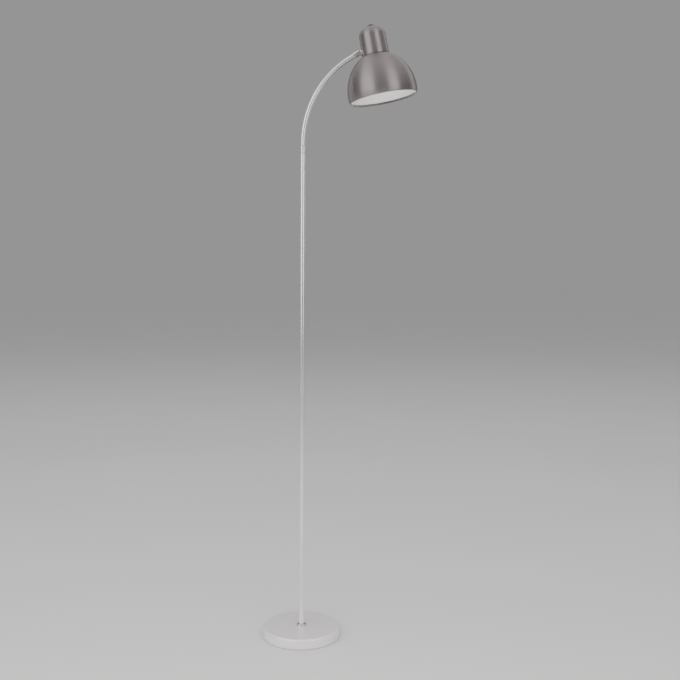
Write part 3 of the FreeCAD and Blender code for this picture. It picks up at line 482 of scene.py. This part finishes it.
NICKEL = spun_nickel()
LINING = white_shade_lining()
TUBE = satin_nickel_tube()
POLISHED = polished_nickel()
ENAMEL = silver_enamel()
ZINC = zinc_plate()
IRON = sand_cast_iron()
BRASS = turned_brass()
PORCELAIN = glazed_porcelain()
FOAM = cut_foam()
# ABS button and bezel: black, from a polished tool.
BUTTON_ABS = moulded_plastic(
    "black_abs_gloss", "#0E0E10", "#17171A", roughness=0.2, gloss_change=0.04,
    grit=1.2, depth=0.01, edge_radius=0.3, index=1.54)
# PBT lampholder: black, from a spark-eroded tool, so it looks powdery.
HOLDER_PBT = moulded_plastic(
    "black_pbt_spark_finish", "#151516", "#1F1F20", roughness=0.5, gloss_change=0.06,
    grit=0.6, depth=0.04, edge_radius=0.4, index=1.55)
# PA66 terminal block: milky, slightly waxy.
BLOCK_PA = moulded_plastic(
    "natural_pa66", "#DDD9CD", "#E8E5DB", roughness=0.42, gloss_change=0.06,
    grit=0.8, depth=0.03, edge_radius=0.4, index=1.53)
# PVC lead jacket: smooth, off-white, from the extruder.
LEAD_PVC = moulded_plastic(
    "white_pvc_jacket", "#D3D0C8", "#E0DED7", roughness=0.36, gloss_change=0.05,
    grit=3.0, depth=0.02, edge_radius=0.1, index=1.53)
# Black nylon gland and swivel washer.
NYLON = moulded_plastic(
    "black_nylon", "#161617", "#232325", roughness=0.38, gloss_change=0.06,
    grit=0.7, depth=0.02, edge_radius=0.3, index=1.53)

NODE_FINISHES = {
    "foot_pad": FOAM, "bottom_plate": ZINC, "plate_screws": ZINC, "base_weight": IRON,
    "terminal_block": BLOCK_PA, "terminal_screw": ZINC, "base_washer": ZINC, "base_nut": ZINC,
    "base_nipple": BRASS, "cord_gland": NYLON, "pole_foot_bush": BRASS, "collar_grub_screw": ZINC,
    "swivel_washer": NYLON, "inner_lead_stand": LEAD_PVC, "arm_spigot": BRASS, "arm_end_bush": BRASS,
    "inner_lead_arm": LEAD_PVC, "knuckle_barrel": POLISHED, "knuckle_pins": POLISHED,
    "knuckle_grub_screw": ZINC, "knuckle_stud": POLISHED, "knuckle_washer": ZINC, "knuckle_nut": ZINC,
    "holder_bracket": ZINC, "holder_nipple": BRASS, "holder_nut": ZINC, "holder_cap": HOLDER_PBT,
    "contact_block": PORCELAIN, "centre_contact": BRASS, "shade_ring": HOLDER_PBT,
    "switch_body": HOLDER_PBT, "inner_lead_head": LEAD_PVC, "switch_wires": LEAD_PVC,
}


def finish_solid_pieces():
    """The pieces whose solids are right as they are, each with its finish."""
    for name, finish in NODE_FINISHES.items():
        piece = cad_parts[name]
        piece.data.materials.clear()
        piece.data.materials.append(finish)


# ---------------------------------------------------------------------- stand
def base_cover():
    """Pressed cover: flat top, a rounded shoulder and a straight skirt with a turned-in foot."""
    inner = BASE_RADIUS - COVER_WALL
    under = BASE_TOP - COVER_WALL
    outline = rounded([
        (BASE_HOLE, BASE_TOP, 0), (BASE_RADIUS, BASE_TOP, BASE_EDGE), (BASE_RADIUS, BASE_FOOT, 0.5),
        (inner, BASE_FOOT, 0.5), (inner, under, BASE_EDGE - COVER_WALL), (BASE_HOLE, under, 0),
    ], steps=10)
    cover = turned("base_cover_pressing", outline, around=256)
    fit(cover, "stand", "base_cover", finishes=[ENAMEL])


def pole_ferrule():
    """Turned ring that hides the pole's foot, with a bead under its domed top."""
    bead_top = BASE_TOP + 1.1
    neck = FERRULE_RADIUS - 0.7
    neck_top = BASE_TOP + 1.6
    dome = FERRULE_RADIUS - 0.2
    bore = POLE_RADIUS + 0.05
    outline = rounded([
        (BASE_HOLE, BASE_TOP, 0), (FERRULE_RADIUS, BASE_TOP, 0.2), (FERRULE_RADIUS, bead_top, 0.4),
        (neck, bead_top, 0.15), (neck, neck_top, 0.15), (dome, neck_top, 0.2), (dome, FERRULE_TOP, 2.7),
        (bore, FERRULE_TOP, 0.25), (bore, POLE_FOOT, 0), (BASE_HOLE, POLE_FOOT, 0),
    ])
    ferrule = turned("base_ferrule_turning", outline, around=128)
    fit(ferrule, "stand", "base_ferrule", finishes=[POLISHED])


def pole():
    """Drawn tube in one length."""
    bore = POLE_RADIUS - POLE_WALL
    outline = rounded([
        (bore, POLE_FOOT, 0.2), (POLE_RADIUS, POLE_FOOT, 0.3),
        (POLE_RADIUS, POLE_TOP, 0.3), (bore, POLE_TOP, 0.2),
    ], steps=3)
    tube = turned("pole_tube_drawn", outline, around=96)
    fit(tube, "stand", "pole_tube", finishes=[TUBE])


def collar():
    """Turned collar on the pole's top: a shadow groove, a slow swell and a broken top edge."""
    spigot_foot = POLE_TOP - COLLAR_SPIGOT_LENGTH
    groove = 6.2
    foot = POLE_TOP + 0.6
    bore_floor = POLE_TOP + 3
    count = 10
    swell = [
        (POLE_RADIUS + (COLLAR_RADIUS - POLE_RADIUS) * math.sin(k / count * math.pi / 2),
         foot + 0.3 + (GRUB_HEIGHT - foot) * k / count)
        for k in range(count + 1)
    ]
    outline = [
        (COLLAR_LEAD_HOLE, spigot_foot), (COLLAR_SPIGOT, spigot_foot), (COLLAR_SPIGOT, POLE_TOP),
        (groove, POLE_TOP), (groove, foot), (POLE_RADIUS - 0.3, foot), (POLE_RADIUS - 0.08, foot + 0.08),
    ] + swell + [
        (COLLAR_RADIUS, COLLAR_TOP - 0.6), (COLLAR_RADIUS - 0.12, COLLAR_TOP - 0.25),
        (COLLAR_RADIUS - 0.4, COLLAR_TOP), (COLLAR_BORE, COLLAR_TOP), (COLLAR_BORE, bore_floor),
        (COLLAR_LEAD_HOLE, bore_floor),
    ]
    piece = turned("collar_turning", outline, around=96)
    fit(piece, "stand", "collar", finishes=[POLISHED])


# ------------------------------------------------------------------------ arm
def arm():
    """Bent tube: a short riser, one long even bend and a straight end into the knuckle."""
    bend = math.radians(ARM_BEND)
    bend_foot = ARM_FOOT + ARM_RISER
    direction = Vector((math.sin(bend), 0, math.cos(bend)))
    line = [(Vector((0, 0, ARM_FOOT + ARM_RISER * k / 3)), Vector((0, 0, 1))) for k in range(3)]
    count = 120
    for k in range(count + 1):
        turn = bend * k / count
        out = ARM_BEND_RADIUS * (1 - math.cos(turn))
        place = Vector((out, 0, bend_foot + ARM_BEND_RADIUS * math.sin(turn)))
        line.append((place, Vector((math.sin(turn), 0, math.cos(turn)))))
    bend_end = line[-1][0]
    line += [(bend_end + direction * ARM_END * k / 3, direction) for k in range(1, 4)]
    first, last = line[0], line[-1]
    bore = ARM_RADIUS - ARM_WALL
    bore_depth = 6
    spine = [(first, bore), (first, ARM_RADIUS - ARM_EDGE)]
    spine.append(((first[0] + first[1] * ARM_EDGE, first[1]), ARM_RADIUS))
    spine += [(station, ARM_RADIUS) for station in line[1:-1]]
    spine.append(((last[0] - last[1] * ARM_EDGE, last[1]), ARM_RADIUS))
    spine += [(last, ARM_RADIUS - ARM_EDGE), (last, bore)]
    spine.append(((last[0] - last[1] * bore_depth, last[1]), bore))
    around = 72
    side = Vector((0, 1, 0))
    rows = []
    for (place, along), radius in spine:
        up = along.cross(side)
        rows.append([
            (place + (side * math.cos(a) + up * math.sin(a)) * radius) / 1000
            for a in (2 * math.pi * j / around for j in range(around))
        ])
    steps = [
        (after[0][0] - before[0][0]).length / 1000 + abs(after[1] - before[1]) / 1000
        for before, after in zip(spine, spine[1:])
    ]
    tube = skin("arm_tube_bent", rows, 2 * math.pi * ARM_RADIUS / 1000, steps)
    fit(tube, "arm", "arm_tube", finishes=[TUBE])


# ----------------------------------------------------------------------- head
def shade():
    """Spun bell: drawn-in lip, folded hem, and a white enamelled inside."""
    lip_radius = (SHADE_LIP ** 2 + SHADE_WAIST ** 2) / (2 * SHADE_LIP)
    lip_centre = SHADE_RADIUS - lip_radius

    def lip(depth, low, high, count):
        first = math.asin((low - SHADE_WAIST) / lip_radius)
        last = math.asin((high - SHADE_WAIST) / lip_radius)
        angles = [first + (last - first) * k / count for k in range(count + 1)]
        reach = lip_radius - depth
        return [(lip_centre + reach * math.cos(a), SHADE_WAIST + reach * math.sin(a)) for a in angles]

    hem = SHADE_WALL + HEM_WALL
    hole = HOLDER_RADIUS + 0.05
    outer_lip = lip(0, HEM_FOOT, SHADE_WAIST, 12)
    outer_bell = quarter_ellipse(SHADE_RADIUS, SHADE_RISE, SHADE_WAIST, SHADE_SEAT, 64)[1:]
    inner_radius = SHADE_RADIUS - SHADE_WALL
    inner_rise = SHADE_RISE - SHADE_WALL
    seat_share = (SHADE_TOP - SHADE_WALL - SHADE_WAIST) / inner_rise
    inner_seat = inner_radius * math.sqrt(1 - seat_share ** 2)
    inner_bell = quarter_ellipse(inner_radius, inner_rise, SHADE_WAIST, inner_seat, 64)[::-1]
    inner_lip = lip(SHADE_WALL, SHADE_WAIST, HEM_HEIGHT + HEM_STEP, 8)[1:]
    hem_face = lip(hem, HEM_HEIGHT - HEM_STEP, HEM_FOOT, 6)
    rim_outer = outer_lip[0]
    rim_inner = hem_face[-1]
    middle = ((rim_outer[0] + rim_inner[0]) / 2, (rim_outer[1] + rim_inner[1]) / 2)
    count = 8
    bead = []
    for k in range(1, count):
        turn = math.pi * k / count
        swing = (rim_inner[0] - middle[0]) * math.cos(turn)
        bead.append((middle[0] + swing, middle[1] - math.sin(turn) * hem / 2))
    outer = outer_lip + outer_bell + [(hole, SHADE_TOP)]
    inner = [(hole, SHADE_TOP - SHADE_WALL)] + inner_bell + inner_lip + hem_face
    lined = 1 + len(inner_bell) + len(inner_lip)
    bands = [0] * len(outer) + [1] * lined + [0] * (len(hem_face) + len(bead))
    piece = turned("shade_bell_spun", outer + inner + bead, around=256, bands=bands)
    fit(piece, "head", "shade_dome", where=HEAD, finishes=[NICKEL, LINING])


def cap():
    """Spun cap over the lampholder: a slightly tapered side, a soft crown and a flat for the switch."""
    inner_foot = CAP_RADIUS - CAP_WALL
    inner_top = CAP_TOP_RADIUS - CAP_WALL
    inner_rise = CAP_CROWN - CAP_WALL
    crown = quarter_ellipse(CAP_TOP_RADIUS, CAP_CROWN, CAP_SHOULDER, CAP_FLAT_RADIUS, 40)
    inner_share = (CAP_FLAT - CAP_WALL - CAP_SHOULDER) / inner_rise
    inner_flat = inner_top * math.sqrt(1 - inner_share ** 2)
    inner_crown = quarter_ellipse(inner_top, inner_rise, CAP_SHOULDER, inner_flat, 24)[::-1]
    taper = CAP_RADIUS - CAP_TOP_RADIUS
    count = 12
    side = [
        (CAP_RADIUS - taper * k / count, CAP_FOOT + (CAP_SHOULDER - CAP_FOOT) * k / count)
        for k in range(1, count)
    ]
    outline = [
        (inner_foot + 0.15, CAP_FOOT), (CAP_RADIUS - 0.35, CAP_FOOT),
        (CAP_RADIUS - 0.1, CAP_FOOT + 0.1), (CAP_RADIUS, CAP_FOOT + 0.35),
    ] + side + crown + [
        (BEZEL_BORE, CAP_FLAT), (BEZEL_BORE, CAP_FLAT - CAP_WALL),
    ] + inner_crown + [(inner_foot, CAP_FOOT + 0.15)]
    piece = turned("cap_shell_spun", outline, around=192)
    fit(piece, "head", "cap_shell", where=HEAD, finishes=[NICKEL])


def lampholder_skirt():
    """Moulded skirt with its flange and the outside thread that the shade ring runs on."""
    threaded = [HOLDER_FOOT + 1.2 + 0.26 * k for k in range(54)]

    def outside_thread(radius, height, angle):
        if radius < HOLDER_RADIUS - 0.01 or not threaded[0] < height < threaded[-1]:
            return 0.0
        return thread(height, angle, HOLDER_THREAD_PITCH, HOLDER_THREAD_DEPTH)

    top = SHADE_TOP + HOLDER_FLANGE_THICKNESS
    outline = [
        (HOLDER_BORE, HOLDER_FOOT + 0.4), (HOLDER_BORE + 0.4, HOLDER_FOOT),
        (HOLDER_RADIUS - 0.6, HOLDER_FOOT),
    ]
    outline += [(HOLDER_RADIUS, height) for height in [HOLDER_FOOT + 0.6] + threaded + [SHADE_TOP]]
    outline += rounded([
        (HOLDER_RADIUS, SHADE_TOP, 0), (HOLDER_FLANGE, SHADE_TOP, 0.4), (HOLDER_FLANGE, top, 0.6),
        (HOLDER_RADIUS, top, 0.8), (HOLDER_RADIUS, HOLDER_TOP, 0.4), (HOLDER_BORE, HOLDER_TOP, 0),
    ], steps=4, loop=False)[1:]
    piece = turned("lampholder_skirt_moulding", outline, around=144, relief=outside_thread)
    fit(piece, "head", "holder_skirt", where=HEAD, finishes=[HOLDER_PBT])


def lamp_screw_shell():
    """Rolled brass shell with the round thread that takes the bulb."""
    outside = [(SHELL_RADIUS, SHELL_TOP - SHELL_WALL - 0.3 * k) for k in range(81)][::-1]
    inside = [(radius - SHELL_WALL, height) for radius, height in outside[::-1]]

    def rolled_thread(radius, height, angle):
        if radius > SHELL_RADIUS + 0.01:
            return 0.0
        return thread(height, angle, SHELL_THREAD_PITCH, SHELL_THREAD_DEPTH)

    rim = [
        (SHELL_RIM, SHELL_TOP - SHELL_WALL), (SHELL_RIM, SHELL_TOP),
        (SHELL_RADIUS - SHELL_WALL, SHELL_TOP),
    ]
    piece = turned("screw_shell_rolled", outside + rim + inside, around=96, relief=rolled_thread)
    fit(piece, "head", "screw_shell", where=HEAD, finishes=[BRASS])


# --------------------------------------------------------------------- switch
def switch_bezel():
    """Moulded ring nut round the button, with a finely ribbed edge."""

    def ribs(radius, height, angle):
        if radius < BEZEL_RADIUS - 0.05:
            return 0.0
        return -BEZEL_RIB_DEPTH / 2 + BEZEL_RIB_DEPTH / 2 * math.cos(BEZEL_RIBS * angle)

    outline = rounded([
        (BEZEL_BORE, CAP_FLAT, 0), (BEZEL_RADIUS, CAP_FLAT, 0.1), (BEZEL_RADIUS, CAP_FLAT + 1.0, 0),
        (BEZEL_RADIUS - 0.15, CAP_FLAT + 1.2, 0), (BEZEL_RADIUS - 0.7, BEZEL_TOP, 0.35),
        (BEZEL_BORE, BEZEL_TOP, 0.2),
    ], steps=4)
    piece = turned("switch_bezel_moulding", outline, around=288, relief=ribs)
    fit(piece, "head", "switch_bezel", where=HEAD, finishes=[BUTTON_ABS])


def switch_button():
    """Moulded push button with a dished top for the fingertip."""
    count = 12
    dish = [
        (BUTTON_DISH_RADIUS * (1 - k / count),
         BUTTON_TOP - BUTTON_DISH_DEPTH * math.sin(k / count * math.pi / 2))
        for k in range(count + 1)
    ]
    edge = rounded([
        (BUTTON_RADIUS, BUTTON_FOOT, 0), (BUTTON_RADIUS, BUTTON_TOP, 1.2),
        (BUTTON_DISH_RADIUS, BUTTON_TOP, 0),
    ], loop=False)[:-1]
    stem = [(0.0, BUTTON_STEM_FOOT), (BUTTON_STEM, BUTTON_STEM_FOOT), (BUTTON_STEM, BUTTON_FOOT)]
    piece = turned("switch_button_moulding", stem + edge + dish, around=96, loop=False)
    fit(piece, "switch_button", "switch_button", where=HEAD, finishes=[BUTTON_ABS])


# --------------------------------------------------------------------- studio
FLOOR_RINGS = (0.0, 2500.0, 9000.0, 55000.0)   # millimetres
SOFTBOX_DISTANCE = 2.6
SOFTBOX_HEIGHT = 2.2
SOFTBOX_MIDDLE = 2.05
LAMP_MIDDLE = 0.08   # of its reach to the right
CEILING_SIZE = 9.0
CEILING_HEIGHT = 4.3
AIR_ON_LAMP = "#CCCCCD"
AIR_IN_METAL = "#7E7D7E"
AIR_BEHIND = "#9B9A9A"
PICTURE_PIXELS = 680.0
FOCAL_PIXELS = 918.5
SHIFT_PIXELS = -24.0
SENSOR_MM = 36.0
CAMERA_PLACE = (0.0964, -2.3555, 0.9534)
CAMERA_DIP = 2.908   # degrees
CAMERA_LEAN = 0.31   # degrees


def studio_floor():
    """A wide plain disc under the lamp."""
    floor = turned("studio_floor", [(radius, 0.0) for radius in FLOOR_RINGS], around=96, loop=False)
    floor.data.materials.append(floor_plaster())


def softbox(name, width, height, brightness, where):
    """A flat soft light that doesn't show itself. It faces down before it is set in its place."""
    data = bpy.data.lights.new(name, "AREA")
    data.shape = "RECTANGLE"
    data.size = width
    data.size_y = height
    data.energy = brightness * math.pi * width * height
    light = bpy.data.objects.new(name, data)
    light.matrix_world = where
    light.visible_camera = False
    bpy.context.scene.collection.objects.link(light)
    return light


def facing_lamp(bearing):
    """A place round the lamp, facing it. Its bearing is in degrees from the camera's side, to the right."""
    turn = math.radians(bearing)
    aim = Vector((LAMP_MIDDLE, 0.0, SOFTBOX_MIDDLE))
    spot = aim + Vector((math.sin(turn), -math.cos(turn), 0.0)) * SOFTBOX_DISTANCE
    return Matrix.Translation(spot) @ (aim - spot).to_track_quat("-Z", "Y").to_matrix().to_4x4()


def studio_lights():
    """Four tall softboxes round the lamp, a ceiling of light, and two fills."""
    for name, bearing, width, brightness in (
        ("left_softbox", -51, 2.3, 2.0),
        ("right_softbox", 38, 1.45, 1.95),
        ("right_rear_softbox", 122, 1.0, 0.7),
        ("left_rear_softbox", -135, 1.2, 0.45),
    ):
        softbox(name, width, SOFTBOX_HEIGHT, brightness, facing_lamp(bearing))
    overhead = Matrix.Translation((0.0, 0.0, CEILING_HEIGHT))
    softbox("ceiling_softbox", CEILING_SIZE, CEILING_SIZE, 0.74, overhead)
    # A low light fills the shade's inside. Neither it nor the next one shows in the metal.
    looking_up = Matrix.Translation((-0.2, -2.1, 0.62)) @ Matrix.Rotation(math.radians(123), 4, "X")
    low = softbox("low_front_fill", 1.6, 0.7, 9.0, looking_up)
    # A pool of light on the floor before the lamp, which the pole's lower part mirrors.
    before_lamp = Matrix.Translation((0.0, -1.35, 1.7))
    pool = softbox("front_floor_pool", 1.6, 1.0, 3.4, before_lamp)
    for fill in (low, pool):
        fill.visible_glossy = False
    studio_air()


def studio_air():
    """The air round the lamp: the far floor's grey behind it, dim in reflections, and a soft fill."""
    world = bpy.data.worlds.new("studio_air")
    world.use_nodes = True
    seen = add(world, "ShaderNodeLightPath")
    lit = blend(world, seen.outputs["Is Glossy Ray"], AIR_ON_LAMP, AIR_IN_METAL)
    grey = blend(world, seen.outputs["Is Camera Ray"], lit, AIR_BEHIND)
    world.node_tree.links.new(grey, world.node_tree.nodes["Background"].inputs[0])
    bpy.context.scene.world = world


def studio_camera():
    """A little over two metres away, at waist height, looking down a little, as in the photograph."""
    data = bpy.data.cameras.new("camera")
    data.sensor_width = SENSOR_MM
    data.lens = FOCAL_PIXELS * SENSOR_MM / PICTURE_PIXELS
    data.shift_y = SHIFT_PIXELS / PICTURE_PIXELS
    data.clip_end = 60.0
    camera = bpy.data.objects.new("camera", data)
    pitch = Matrix.Rotation(math.radians(90 - CAMERA_DIP), 4, "X")
    lean = Matrix.Rotation(math.radians(CAMERA_LEAN), 4, "Z")
    camera.matrix_world = Matrix.Translation(CAMERA_PLACE) @ pitch @ lean
    bpy.context.scene.collection.objects.link(camera)
    bpy.context.scene.camera = camera


studio_camera()
studio_floor()
studio_lights()
finish_solid_pieces()
base_cover()
pole_ferrule()
pole()
collar()
arm()
shade()
cap()
lampholder_skirt()
lamp_screw_shell()
switch_bezel()
switch_button()
